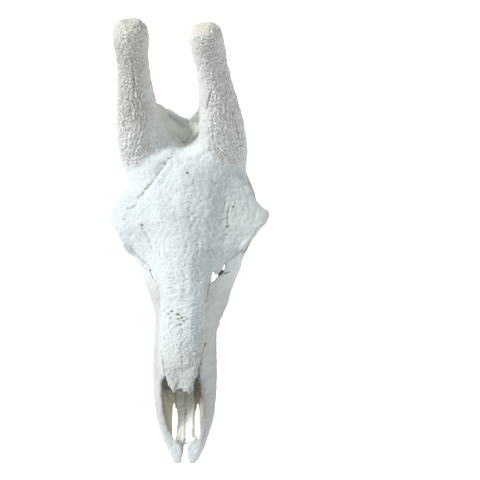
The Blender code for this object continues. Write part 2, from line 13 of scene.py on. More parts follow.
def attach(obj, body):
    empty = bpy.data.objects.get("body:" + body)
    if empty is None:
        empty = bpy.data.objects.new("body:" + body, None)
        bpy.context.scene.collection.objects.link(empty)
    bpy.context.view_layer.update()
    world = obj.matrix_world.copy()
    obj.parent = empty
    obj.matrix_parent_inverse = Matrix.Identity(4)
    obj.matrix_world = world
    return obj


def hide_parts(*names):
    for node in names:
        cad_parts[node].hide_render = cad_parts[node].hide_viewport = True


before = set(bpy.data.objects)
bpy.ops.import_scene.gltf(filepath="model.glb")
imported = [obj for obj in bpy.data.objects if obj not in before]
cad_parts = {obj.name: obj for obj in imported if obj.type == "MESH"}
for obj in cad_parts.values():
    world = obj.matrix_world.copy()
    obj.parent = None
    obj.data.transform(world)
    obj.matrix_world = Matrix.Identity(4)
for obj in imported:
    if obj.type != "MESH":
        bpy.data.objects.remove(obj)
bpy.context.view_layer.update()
bpy.ops.object.select_all(action="DESELECT")
mm = 0.001

# camera, as the photograph was taken
view = {
    "pixel": 1.572e-3,  # what one of the picture's 480 pixels covers at the eye sockets
    "distance": 1.6,
    "pitch": 22,
    "roll": 6,
    "twist": 0.35,
    "middleColumn": 187,  # picture column of the skull's middle
    "muzzle": (0, -0.294, 0.012),
    "socket": (0, 0.069, 0.150),
    "reach": 0.350,  # along the face from the muzzle to the middle row of the picture
}


def cameraAxes():
    pitch, roll, twist = (math.radians(view[key]) for key in ("pitch", "roll", "twist"))
    up = Vector((0, math.cos(pitch), math.sin(pitch)))
    level = Vector((0, -math.sin(pitch), math.cos(pitch)))
    right = Vector((1, 0, 0))
    back = level * math.cos(roll) + right * math.sin(roll)
    right = right * math.cos(roll) - level * math.sin(roll)
    up, right = up * math.cos(twist) - right * math.sin(twist), right * math.cos(twist) + up * math.sin(twist)
    aim = Vector(view["muzzle"]) + up * view["reach"]
    aim += level * (Vector(view["socket"]) - aim).dot(level)
    aim += right * ((240 - view["middleColumn"]) * view["pixel"])
    return aim, right, up, back


aim, right, up, back = cameraAxes()
cameraSpot = aim + back * view["distance"]


def placeCamera():
    bpy.ops.object.camera_add()
    camera = bpy.context.object
    camera.matrix_world = Matrix.Translation(cameraSpot) @ Matrix((right, up, back)).transposed().to_4x4()
    camera.data.sensor_width = 36
    camera.data.lens = 36 * view["distance"] / (480 * view["pixel"])
    camera.data.clip_start = 0.01
    bpy.context.scene.camera = camera
    print("camera placed")


def pixelOf(spots):
    offset = spots - np.array(aim)
    depth = view["distance"] - offset @ np.array(back)
    size = view["distance"] / depth / view["pixel"]
    return np.stack([240 + (offset @ np.array(right)) * size, 240 - (offset @ np.array(up)) * size], axis=1)


# floor and light
studio = {
    "floorColour": (0.93, 0.93, 0.93, 1),
    "floorGlow": 0.35,
    "floorWhite": 0.85,
    "sky": 0.34,
    "skyColour": (0.97, 0.985, 1.0, 1),
    # each light's strength, its softness in degrees, and where it comes from: right, up and back as the camera sees it
    "suns": (
        (2.8, 12, (-0.82, 0.57, 0.54)),
        (0.45, 60, (0.05, -0.10, 1.0)),
    ),
}


def placeStudio():
    bpy.ops.mesh.primitive_plane_add(size=12, location=(0, 0, -0.0004))
    floor = bpy.context.object
    floor.name = "floor"
    bpy.ops.object.transform_apply(location=True, rotation=True, scale=True)
    paint = bpy.data.materials.new("floorPaint")
    paint.use_nodes = True
    shader = paint.node_tree.nodes["Principled BSDF"]
    shader.inputs["Base Color"].default_value = studio["floorColour"]
    shader.inputs["Roughness"].default_value = 0.9
    shader.inputs["Emission Color"].default_value = (1, 1, 1, 1)
    seen = paint.node_tree.nodes.new("ShaderNodeLightPath")
    glow = paint.node_tree.nodes.new("ShaderNodeMapRange")  # white as a backdrop, weaker as a light
    glow.inputs["To Min"].default_value = studio["floorGlow"]
    glow.inputs["To Max"].default_value = studio["floorWhite"]
    paint.node_tree.links.new(seen.outputs["Is Camera Ray"], glow.inputs["Value"])
    paint.node_tree.links.new(glow.outputs["Result"], shader.inputs["Emission Strength"])
    floor.data.materials.append(paint)
    world = bpy.data.worlds.new("studio")
    bpy.context.scene.world = world
    world.use_nodes = True
    tree = world.node_tree
    sky = tree.nodes["Background"]
    sky.inputs["Color"].default_value = studio["skyColour"]
    sky.inputs["Strength"].default_value = studio["sky"]
    wall = tree.nodes.new("ShaderNodeBackground")  # what is seen behind the floor's edge
    wall.inputs["Color"].default_value = (1, 1, 1, 1)
    rays = tree.nodes.new("ShaderNodeLightPath")
    choice = tree.nodes.new("ShaderNodeMixShader")
    tree.links.new(rays.outputs["Is Camera Ray"], choice.inputs["Fac"])
    tree.links.new(sky.outputs["Background"], choice.inputs[1])
    tree.links.new(wall.outputs["Background"], choice.inputs[2])
    tree.links.new(choice.outputs["Shader"], tree.nodes["World Output"].inputs["Surface"])
    for strength, softness, (x, y, z) in studio["suns"]:
        bpy.ops.object.light_add(type="SUN")
        sun = bpy.context.object
        sun.data.energy = strength
        sun.data.angle = math.radians(softness)
        sun.matrix_world = (right * x + up * y + back * z).to_track_quat("Z", "Y").to_matrix().to_4x4()
    bpy.context.scene.view_settings.view_transform = "Standard"
    print("floor and light placed")


# noise, the same on every run
dice = np.random.default_rng(11)
shuffled = np.tile(dice.permutation(256), 3)
slopes = dice.normal(size=(256, 3))
slopes /= np.linalg.norm(slopes, axis=1)[:, None]
chances = dice.random((256, 4))
corners = [np.array(corner) for corner in itertools.product((0, 1), repeat=3)]


def cellKey(cell):
    cell = cell & 255
    return shuffled[shuffled[shuffled[cell[:, 0]] + cell[:, 1]] + cell[:, 2]]


def grain(spots, size, seed=0):
    # soft lumps about this far apart, from -1 to 1
    place = spots / size + seed * 7.31
    cell = np.floor(place).astype(int)
    near = place - cell
    fade = near**3 * (near * (near * 6 - 15) + 10)
    total = np.zeros(len(spots))
    for corner in corners:
        weight = np.prod(np.where(corner, fade, 1 - fade), axis=1)
        total += weight * np.einsum("ij,ij->i", slopes[cellKey(cell + corner)], near - corner)
    return total * 1.7


def ridges(spots, size, seed=0):
    # rounded lumps with sharp creases between them, on average level
    height = np.abs(grain(spots, size, seed))
    return height - height.mean()


def dots(spots, size, share, seed=0):
    # how near each spot is to scattered points, as a share of the cell size, and a chance value of that point
    place = spots / size + seed * 3.17
    cell = np.floor(place).astype(int)
    nearest = np.full(len(spots), 9.0)
    chance = np.zeros(len(spots))
    for step in itertools.product((-1, 0, 1), repeat=3):
        key = cellKey(cell + np.array(step))
        luck = chances[key]
        gap = np.linalg.norm(cell + np.array(step) + 0.15 + 0.7 * luck[:, :3] - place, axis=1)
        gap = np.where(luck[:, 3] < share, gap, 9.0)
        closer = gap < nearest
        nearest = np.where(closer, gap, nearest)
        chance = np.where(closer, luck[:, 3] / share, chance)
    return nearest, chance


def ramp(value, low, high):
    t = np.clip((value - low) / (high - low), 0, 1)
    return t * t * (3 - 2 * t)


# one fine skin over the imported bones
skinning = {
    "voxel": 0.0012,
    "merge": 1e-6,
    "smoothRounds": 14,
    "smoothShare": 0.5,
    "swellShare": -0.53,
}


patches = {
    # a flat pad of bone under a picture place: column, row, half width, half length and half thickness in mm
    "pads": (
        (150.5, 275, 11, 17, 2.6),
        (216.5, 276, 13, 19, 2.6),
        (182, 384.5, 19, 19, 2.2),
    ),
    "ring": 9,
    # what is cut away: its outline on the picture, and how far above and under the surface it reaches, in mm
    "cuts": (
        (((210.4, 283.6), (211.6, 276), (212.6, 270.6), (213.8, 271), (215.6, 275), (220.6, 271.2), (223.4, 264.2), (226.2, 263.2), (225.4, 269.6), (221.6, 274.4), (217.8, 277), (214.4, 281.4)), 14, 135),
        (((149.8, 270.4), (151.6, 270.2), (155.4, 275.6), (158.2, 281.8), (157, 283), (153, 277.6)), 14, 150),
        (((172.6, 440), (172, 432), (171.9, 424), (172.2, 416), (172.8, 408), (173.4, 402), (174.9, 402), (175.6, 410), (176.6, 418), (177.5, 425), (177.4, 433), (176, 439)), 30, 60),
        (((197.2, 440), (195.6, 434), (194.6, 428), (194.7, 421), (196, 414), (196.7, 407), (197.1, 401.5), (198.5, 401.5), (199.3, 409), (199.8, 418), (200.2, 426), (200.3, 433), (199.2, 439)), 30, 60),
        (((164.6, 371.5), (165.6, 375), (168.7, 384.8), (173.8, 393), (176.4, 389.3), (179.5, 388.6), (182.7, 388.2), (184, 392), (187.2, 390.5), (190.4, 396.8), (195.5, 388.6), (196.1, 382.2), (198.2, 372.5), (199.4, 372.5), (201.6, 382), (201.8, 402), (164.0, 402), (163.5, 384)), 16, 12),
    ),
}


def rayFrom(column, row):
    toward = aim + right * ((column - 240) * view["pixel"]) + up * ((240 - row) * view["pixel"]) - cameraSpot
    return toward.normalized()


def addPads(whole):
    # flat pads that close the plain openings of the solids, so that their true outlines can be cut
    tree = BVHTree.FromPolygons([vert.co for vert in whole.data.vertices], [face.vertices for face in whole.data.polygons])
    pads = []
    for column, row, wide, long, thick in patches["pads"]:
        hits = []
        for k in range(12):
            turn = math.tau * k / 12
            spot = tree.ray_cast(cameraSpot, rayFrom(column + wide / 1.3 * math.cos(turn), row - 14 * math.sin(turn)))
            if spot[0] is not None:
                hits.append((spot[0], spot[1]))
        level = sorted((spot - aim).dot(back) for spot, normal in hits)[len(hits) // 2]
        near = [(spot, normal) for spot, normal in hits if abs((spot - aim).dot(back) - level) < 0.012]
        middle = sum((spot for spot, normal in near), Vector()) / len(near)
        facing = sum((normal for spot, normal in near), Vector()).normalized()
        ray = rayFrom(column, row)
        middle = cameraSpot + ray * ((middle - cameraSpot).dot(facing) / ray.dot(facing))
        bpy.ops.mesh.primitive_uv_sphere_add(segments=32, ring_count=16, radius=1)
        pad = bpy.context.object
        side = (right - facing * right.dot(facing)).normalized()
        pad.matrix_world = (
            Matrix.Translation(middle - facing * thick * mm)
            @ Matrix((side, facing.cross(side), facing)).transposed().to_4x4()
            @ Matrix.Diagonal((wide * mm, long * mm, thick * mm, 1))
        )
        pads.append(pad)
    bpy.ops.object.select_all(action="DESELECT")
    for pad in pads:
        pad.select_set(True)
    whole.select_set(True)
    bpy.context.view_layer.objects.active = whole
    bpy.ops.object.join()


def skinOver(whole):
    remesh = whole.modifiers.new("skin", "REMESH")
    remesh.mode = "VOXEL"
    remesh.voxel_size = skinning["voxel"]
    bpy.ops.object.modifier_apply(modifier=remesh.name)


def cutOpenings(whole):
    # each opening is cut straight away from the camera, so that its outline is the picture's
    tree = BVHTree.FromPolygons([vert.co for vert in whole.data.vertices], [face.vertices for face in whole.data.polygons])
    bm = bmesh.new()
    for outline, above, under in patches["cuts"]:
        depths = [tree.ray_cast(cameraSpot, rayFrom(*pixel)) for pixel in outline]
        depths = sorted(found[3] for found in depths if found[0] is not None)
        middle = depths[len(depths) // 2]
        rings = [[bm.verts.new(cameraSpot + rayFrom(*pixel) * (middle + far * mm)) for pixel in outline] for far in (-above, under)]
        count = len(outline)
        bm.faces.new(rings[0])
        bm.faces.new(rings[1][::-1])
        for k in range(count):
            bm.faces.new((rings[0][(k + 1) % count], rings[0][k], rings[1][k], rings[1][(k + 1) % count]))
    bmesh.ops.recalc_face_normals(bm, faces=bm.faces)
    tool = bpy.data.objects.new("cutter", bpy.data.meshes.new("cutter"))
    bm.to_mesh(tool.data)
    bm.free()
    bpy.context.scene.collection.objects.link(tool)
    cut = whole.modifiers.new("openings", "BOOLEAN")
    cut.operation = "DIFFERENCE"
    cut.solver = "MANIFOLD"
    cut.object = tool
    bpy.ops.object.modifier_apply(modifier=cut.name)
    bpy.data.objects.remove(tool)


def fusedBones():
    copies = []
    for name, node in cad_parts.items():
        bone = node.copy()
        bone.data = node.data.copy()
        bone.parent = None
        bpy.context.scene.collection.objects.link(bone)
        bm = bmesh.new()
        bm.from_mesh(bone.data)
        bmesh.ops.remove_doubles(bm, verts=bm.verts, dist=skinning["merge"])
        bm.to_mesh(bone.data)
        bm.free()
        copies.append(bone)
    for bone in copies:
        bone.select_set(True)
    bpy.context.view_layer.objects.active = copies[0]
    bpy.ops.object.join()
    whole = bpy.context.object
    for key in list(whole.keys()):
        del whole[key]
    whole.name = "skull"
    whole.data.materials.clear()
    addPads(whole)
    skinOver(whole)
    cutOpenings(whole)
    skinOver(whole)
    print("bones fused:", len(whole.data.vertices), "points")
    return whole


class Skin:
    # the skull's points while they are carved
    def __init__(self, mesh):
        self.mesh = mesh
        self.edges = np.empty(len(mesh.edges) * 2, int)
        mesh.edges.foreach_get("vertices", self.edges)
        self.edges = self.edges.reshape(-1, 2)
        self.count = np.bincount(self.edges.ravel(), minlength=len(mesh.vertices))
        self.spots = np.empty(len(mesh.vertices) * 3, np.float32)
        mesh.vertices.foreach_get("co", self.spots)
        self.spots = self.spots.reshape(-1, 3).astype(float)
        self.marks = {name: np.zeros(len(mesh.vertices)) for name in ("horn", "grimeAndShade", "hollow", "pale", "valley", "agedAndShade", "stainAndPaintedLight", "paintedNoseShade", "paintedLight")}
        self.refresh()

    def refresh(self):
        self.mesh.vertices.foreach_set("co", self.spots.astype(np.float32).ravel())
        self.mesh.update()
        facing = np.empty(len(self.mesh.vertices) * 3, np.float32)
        self.mesh.vertex_normals.foreach_get("vector", facing)
        self.facing = facing.reshape(-1, 3).astype(float)
        self.tree = None

    def averaged(self, values):
        one, two = self.edges[:, 0], self.edges[:, 1]
        size = len(self.count)
        columns = values.reshape(size, -1)
        total = np.empty_like(columns)
        for k in range(columns.shape[1]):
            column = columns[:, k]
            total[:, k] = np.bincount(one, column[two], size) + np.bincount(two, column[one], size)
        return (total / self.count[:, None]).reshape(values.shape)

    def smoothed(self, values, rounds, share=0.5):
        for step in range(rounds):
            values = values + share * (self.averaged(values) - values)
        return values

    def push(self, height):
        self.spots += self.facing * height[:, None]

    def hit(self, column, row):
        if self.tree is None:
            faces = np.empty(len(self.mesh.loops), int)
            self.mesh.loops.foreach_get("vertex_index", faces)
            self.tree = BVHTree.FromPolygons(self.spots.tolist(), faces.reshape(-1, 4).tolist())
        toward = aim + right * ((column - 240) * view["pixel"]) + up * ((240 - row) * view["pixel"]) - cameraSpot
        found = self.tree.ray_cast(cameraSpot, toward.normalized())
        return found[0]


placeCamera()
placeStudio()
skull = fusedBones()
skin = Skin(skull.data)


def smoothFacets():
    for step in range(skinning["smoothRounds"]):
        for share in (skinning["smoothShare"], skinning["swellShare"]):
            skin.spots = skin.spots + share * (skin.averaged(skin.spots) - skin.spots)
    skin.refresh()
    print("facets smoothed")


def lineSpots(pixels, step=0.5):
    # points on the skull under a line drawn on the picture
    found = []
    for (x0, y0), (x1, y1) in zip(pixels, pixels[1:]):
        count = max(int(math.hypot(x1 - x0, y1 - y0) / step), 1)
        for k in range(count + 1):
            spot = skin.hit(x0 + (x1 - x0) * k / count, y0 + (y1 - y0) * k / count)
            if spot is not None:
                found.append(spot)
    return found


def gapTo(points, reach):
    # each skin point's distance to the nearest of these points, worked out near them only
    cloud = np.array(points)
    low, high = cloud.min(0) - reach, cloud.max(0) + reach
    inside = np.nonzero(np.all((skin.spots > low) & (skin.spots < high), axis=1))[0]
    gap = np.full(len(skin.spots), 9.0)
    for chunk in np.array_split(inside, max(len(inside) // 4000, 1)):
        far = np.linalg.norm(skin.spots[chunk][:, None] - cloud[None], axis=2)
        gap[chunk] = far.min(1)
    return gap


def bump(gap, half):
    return np.exp(-((gap / half) ** 2))


def mound(pixels, half, height):
    # a soft swelling, or a valley where the height is negative, along a line on the picture, in mm
    gap = gapTo(lineSpots(pixels, 1.5), 3 * half * mm)
    skin.push(bump(gap, half * mm) * height * mm)


def crack(pixels, half, depth, grimeAndShade=0.6, broken=0.3, wander=1.2):
    # a narrow crooked groove, in mm, with gaps in it where broken is high
    gap = gapTo(lineSpots(pixels), 3 * half * mm + wander * mm)
    picked = np.nonzero(gap < 1)[0]
    spots = skin.spots[picked]
    crooked = np.abs(gap[picked] + grain(spots, 5 * mm, 5) * wander * mm)
    near = bump(crooked, half * mm) * (1 - broken * (1 - ramp(grain(spots, 4 * mm, 14), -0.5, 0.2)))
    skin.spots[picked] -= skin.facing[picked] * near[:, None] * depth * mm
    # the crack's dark line is grime in it
    skin.marks["grimeAndShade"][picked] = np.maximum(skin.marks["grimeAndShade"][picked], near * grimeAndShade)


def pit(column, row, radius, depth, grimeAndShade=0.8, wide=1.0):
    # a hole in the surface, in mm, drawn out across the picture by wide
    spot = skin.hit(column, row)
    offset = skin.spots - np.array(spot)
    across = offset @ np.array(right)
    offset -= np.outer(across * (1 - 1 / wide), np.array(right))
    gap = np.linalg.norm(offset, axis=1)
    near = 1 / (1 + (gap / (radius * mm)) ** 6)
    skin.push(-near * depth * mm)
    # the hole is darkened: painted shade in it, and the stain of the stained pits on the nose
    skin.marks["grimeAndShade"] = np.maximum(skin.marks["grimeAndShade"], near * grimeAndShade)


def pull(column, row, radius, across, rise, above=0.0):
    # the outline moved by this many picture pixels, in the plane of the picture
    place = pixelOf(skin.spots)
    gap = np.hypot(place[:, 0] - column, place[:, 1] - row)
    near = bump(gap, radius) * (skin.spots[:, 2] > above)
    move = np.array(right) * across + np.array(up) * rise
    skin.spots += np.outer(near * view["pixel"], move)


# the larger forms of the face
faceForms = {
    "pulls": (
        (266, 213, 9, 3.0, 0),
        (110, 218, 7, -0.5, 0),
        (129, 251, 7, -2.5, 0),
        (250, 187, 7, 2.5, 0, 0.15),
        (190, 121, 6, 0, 2.5),
        (198, 113, 6, 0, 6.0),
    ),
    "mounds": (
        (((186, 184), (182, 205), (180, 232), (184, 258)), 25, 4.0),
        (((181, 165), (170, 173), (157, 186)), 7, -1.2),
        (((168, 153), (152, 166), (138, 178)), 9, 2.2),
        (((200, 152), (214, 164)), 9, 1.2),
        (((166, 162), (158, 173), (150, 185), (141, 197)), 4.5, -1.8),
        (((209, 187), (210, 200), (209, 212)), 7, 0.9),
        (((191, 235), (190.5, 270), (190.5, 305), (190, 335)), 9, 1.5),
        (((207, 300), (203, 325), (202, 345)), 5, -0.7),
        (((160, 300), (159, 325), (159, 345)), 4, -0.7),
        (((216, 168), (232, 176)), 9, -1.4),
        (((146, 236), (150, 245), (152, 254)), 3.5, -0.9),
        (((225, 239), (222, 248)), 4, -0.7),
    ),
    # flat places raised towards the camera: outline on the picture, how far in mm and the slope's width in pixels
    "lifts": (
        (((174.8, 384), (195.6, 384), (195.4, 411), (195.8, 444), (175.6, 444), (176.4, 411)), 8.0, 1.4),
    ),
    "liftsFade": (426, 443),
    "liftsUnder": 0.06,
}


def shapeFace():
    for one in faceForms["pulls"]:
        pull(*one)
    skin.refresh()
    for pixels, half, height in faceForms["mounds"]:
        mound(pixels, half, height)
    place = pixelOf(skin.spots)
    level = (skin.spots[:, 2] < faceForms["liftsUnder"]) * ramp(skin.facing @ np.array(back), -0.1, 0.3)
    for outline, height, slope in faceForms["lifts"]:
        lift = ramp(insideOf(place, outline), 0, slope) * level * height * mm
        lift *= 1 - ramp(place[:, 1], *faceForms["liftsFade"])
        skin.spots += np.outer(lift, np.array(back))
    skin.refresh()
    print("face shaped")


def insideOf(place, outline):
    # how many pixels each picture place is inside a closed outline, or less than none outside it
    nearest = np.full(len(place), 1e9)
    crossed = np.zeros(len(place), bool)
    points = np.array(outline, float)
    for one, two in zip(points, np.roll(points, -1, axis=0)):
        edge = two - one
        share = np.clip(((place - one) @ edge) / (edge @ edge), 0, 1)
        nearest = np.minimum(nearest, np.hypot(*(place - one - share[:, None] * edge).T))
        spans = (one[1] > place[:, 1]) != (two[1] > place[:, 1])
        at = (two[0] - one[0]) * (place[:, 1] - one[1]) / (two[1] - one[1] + 1e-12) + one[0]
        crossed ^= spans & (place[:, 0] < at)
    return np.where(crossed, nearest, -nearest)


valley = {
    "outline": ((150, 92), (154, 105), (158, 114), (164.5, 126), (171.5, 139.5), (178, 145.5), (185.5, 147.5), (192, 144), (197, 136), (200, 128), (202, 119), (200, 108), (196, 98), (188, 90)),
    "lowest": 0.14,
    "depth": 5.0,
    "edge": 2.6,
    "rim": ((158, 103.5), (165, 109), (172, 113.5), (179, 117), (186, 119), (192, 117), (197, 111)),
    "lips": (
        ((156, 104), (160, 113), (166, 125), (172.5, 137), (178, 144)),
        ((203, 117), (199.5, 128), (195, 138), (189.5, 144)),
    ),
    "lipHalf": 1.6,
    "lipHeight": 1.0,
    "rimHalf": 2.6,
    "rimHeight": 1.8,
}


def sinkValley():
    # the braincase's top between the horns, behind the sharp front edge
    inside = insideOf(pixelOf(skin.spots), valley["outline"])
    seen = (skin.spots[:, 2] > valley["lowest"]) * ramp(skin.facing @ np.array(back), -0.15, 0.15)
    seen = seen * (np.abs(skin.spots[:, 0] - horns["middle"]) < 0.062) * (skin.spots[:, 1] > 0.13)
    rimGap = gapTo(lineSpots(valley["rim"], 1.5), 0.025)
    sunk = ramp(inside, 0, valley["edge"]) * seen * (1 - bump(rimGap, 0.007))
    skin.spots -= np.outer(sunk * valley["depth"] * mm, np.array(back))
    skin.refresh()
    rim = bump(rimGap, valley["rimHalf"] * mm)
    skin.push(rim * valley["rimHeight"] * mm)
    # painted shade: the braincase top between the horns takes the grey-green tone of its shade
    skin.marks["valley"] = ramp(inside, -0.5, 1.0) * seen * (1 - rim)
    skin.refresh()
    for lip in valley["lips"]:
        mound(lip, valley["lipHalf"], valley["lipHeight"])
    skin.refresh()


# rough bone of the horns
horns = {
    "lean": 53,
    "foot": (0.1635, 0.228),
    "middle": -0.0039,
    "start": (-60, -20),
    "picture": (
        ((104, 10), (156, 10), (149, 60), (147, 85), (149, 105), (155, 125), (160, 138), (153, 152), (141, 162), (128, 169), (112, 172)),
        ((186, 10), (240, 10), (256, 178), (243, 174), (229, 168), (214, 160), (205, 150), (203, 138), (207, 120), (202, 95), (196, 60)),
    ),
    "pictureEdge": 7,
    "knob": (138, 152),
    "underRow": 50,
    "warp": 1.6,
    "spread": 0.5,
    "wormSize": 3.0,
    "wormDepth": 1.9,
    "fineSize": 2.3,
    "fineDepth": 2.1,
    "grooveSize": 5.0,
    "grooveStretch": 6,
    "grooveDepth": 2.6,
    "poreSize": 3.4,
    "poreDepth": 0.8,
}


def hornReach(spots):
    lean = math.radians(horns["lean"])
    foot = horns["foot"]
    return ((spots[:, 1] - foot[0]) * math.cos(lean) + (spots[:, 2] - foot[1]) * math.sin(lean)) / mm


def roughenHorns():
    lean = math.radians(horns["lean"])
    reach = hornReach(skin.spots)
    across = skin.spots[:, 0] - horns["middle"]
    onHorn = ramp(reach, *horns["start"]) * ramp(np.abs(across), 0.020, 0.036)
    place = pixelOf(skin.spots)
    shown = np.maximum(*(insideOf(place, outline) for outline in horns["picture"]))
    shown = ramp(shown + grain(skin.spots, 9 * mm, 13) * 4, -horns["pictureEdge"], horns["pictureEdge"] * 1.4)
    front = ramp(skin.facing @ np.array(back), 0.05, 0.4)
    onHorn = onHorn * (front * shown + (1 - front) * ramp(reach, -20, 25))
    inner = ramp(-skin.facing[:, 0] * np.sign(across), 0.25, 0.75) * np.where(across < 0, 1.0, 0.35)
    innerFace = ramp(-skin.facing[:, 0] * np.sign(across), 0.05, 0.5) * ramp(reach, -12, 12) * ramp(np.abs(across), 0.010, 0.022)
    knob = ramp(reach, *horns["knob"])
    rough = onHorn * (1 - 0.7 * inner * (1 - knob))
    picked = np.nonzero(onHorn > 0.01)[0]
    spots = skin.spots[picked]
    steps = np.arange(-80, 220.0)
    low = 1 - 0.85 * ramp(reach[picked], 35, 125)
    spread = np.interp(reach[picked], steps, np.cumsum(horns["spread"] * (1 - ramp(steps, -10, 70))))
    aside = across[picked] / mm + np.sign(across[picked]) * spread
    over = spots[:, 2] / mm * math.cos(lean) - spots[:, 1] / mm * math.sin(lean)
    warp = np.stack([grain(spots, 9 * mm, seed) for seed in (15, 16, 17)], axis=1) * horns["warp"]

    def drawnOut(stretch):
        # the horn's own frame, drawn out along the grooves at the foot and less towards the tip
        run = np.cumsum(1 / (1 + (stretch - 1) * (1 - 0.85 * ramp(steps, 35, 125))))
        return np.stack([aside, np.interp(reach[picked], steps, run), over], axis=1) + warp

    worms = ridges(drawnOut(3.6), horns["wormSize"], 1)
    fine = ridges(drawnOut(2.4), horns["fineSize"], 2)
    grooves = ridges(drawnOut(horns["grooveStretch"]), horns["grooveSize"], 3)
    gap, luck = dots(spots, horns["poreSize"] * mm, 0.8, 4)
    pores = -1 / (1 + (gap / (0.22 + 0.12 * luck)) ** 4)
    uneven = 0.7 + 0.5 * grain(spots, 22 * mm, 18)
    height = worms * horns["wormDepth"] * uneven + fine * horns["fineDepth"]
    height += grooves * horns["grooveDepth"] * low
    height *= 1 - 0.3 * knob[picked]
    height += pores * horns["poreDepth"] * (0.2 + 0.8 * knob[picked])
    full = np.zeros(len(skin.spots))
    full[picked] = height
    skin.push(full * rough * mm)
    skin.marks["horn"] = np.maximum(onHorn, innerFace)
    # neck darkens the horns' greyer bone; under is painted shade on the underside of each knob, which faces away from
    # the light
    neck = ramp(reach, 10, 60) * (1 - 0.6 * knob) * onHorn
    under = bump(place[:, 1] - horns["underRow"], 13) * (1 - ramp(place[:, 0] - np.where(across < 0, 141, 208), 0, 14))
    skin.marks["agedAndShade"] = np.maximum(neck * np.where(across < 0, 0.95, 0.25), 0.85 * under * front * onHorn)
    print("horns roughened")


# pores, wrinkles and lumps of the face
texture = {
    "swellSize": 16,
    "swell": 0.6,
    "lumpSize": 6,
    "lump": 0.7,
    "poreSize": 4.3,
    "poreShare": 0.7,
    "poreDepth": 1.3,
    "wrinkleSize": 4.8,
    "wrinkle": 2.0,
    "crumbSize": 3.6,
    "crumb": 1.9,
    "skinSize": 3.0,
    "skin": 0.6,
}


def texturedFace():
    place = pixelOf(skin.spots)
    column, row = place[:, 0], place[:, 1]
    front = ramp(skin.facing @ np.array(back), 0.1, 0.5)
    height = grain(skin.spots, texture["swellSize"] * mm, 6) * texture["swell"]
    height += grain(skin.spots, texture["lumpSize"] * mm, 7) * texture["lump"]
    patchy = 0.25 + 0.75 * ramp(grain(skin.spots, 28 * mm, 19), -0.25, 0.45)
    middle = 1 - 0.85 * ramp(np.abs(column - 182), 20, 34)
    height += ridges(skin.spots, texture["skinSize"] * mm, 12) * texture["skin"] * patchy * middle
    forehead = front * ramp(row, 176, 200) * (1 - ramp(row, 262, 290)) * (1 - ramp(np.abs(column - 182), 22, 40))
    picked = np.nonzero(forehead > 0.01)[0]
    gap, luck = dots(skin.spots[picked], texture["poreSize"] * mm, texture["poreShare"], 8)
    pores = np.zeros(len(skin.spots))
    pores[picked] = 1 / (1 + (gap / (0.12 + 0.10 * luck)) ** 4)
    height -= pores * texture["poreDepth"] * forehead
    snout = front * ramp(row, 262, 282) * (1 - ramp(row, 392, 398)) * (1 - ramp(np.abs(column - 182), 17, 25))
    drawn = skin.spots * np.array((0.36, 1, 1))
    wrinkles = ridges(drawn, texture["wrinkleSize"] * mm, 9)
    height += wrinkles * texture["wrinkle"] * snout * (1 - 0.7 * ramp(row, 318, 350)) * patchy
    crumbs = ridges(skin.spots, texture["crumbSize"] * mm, 10)
    height += crumbs * texture["crumb"] * (snout * ramp(row, 300, 330) + 0.3 * forehead)
    skin.push(height * mm)
    # painted shade in the forehead's pores
    skin.marks["grimeAndShade"] = np.maximum(skin.marks["grimeAndShade"], 0.35 * pores * forehead)
    # a darker tone on the muzzle's sides and its end; farPlane is painted shade on the plane right of the forehead's
    # ridge, which faces away from the light
    sides = ramp(np.abs(column - 182), 20, 25) * ramp(row, 268, 300) * (1 - ramp(row, 452, 462))
    snoutEnd = ramp(row, 325, 385) * (1 - ramp(row, 430, 455))
    farPlane = 0.25 * front * ramp(column, 200, 214) * ramp(row, 165, 185) * (1 - ramp(row, 248, 262))
    agedAndShade = np.maximum.reduce((sides * np.where(column < 182, 0.9, 0.65), snoutEnd * 0.65, farPlane)) * (skin.spots[:, 2] > 0.02)
    skin.marks["agedAndShade"] = np.maximum(skin.marks["agedAndShade"], agedAndShade)
    print("face textured")


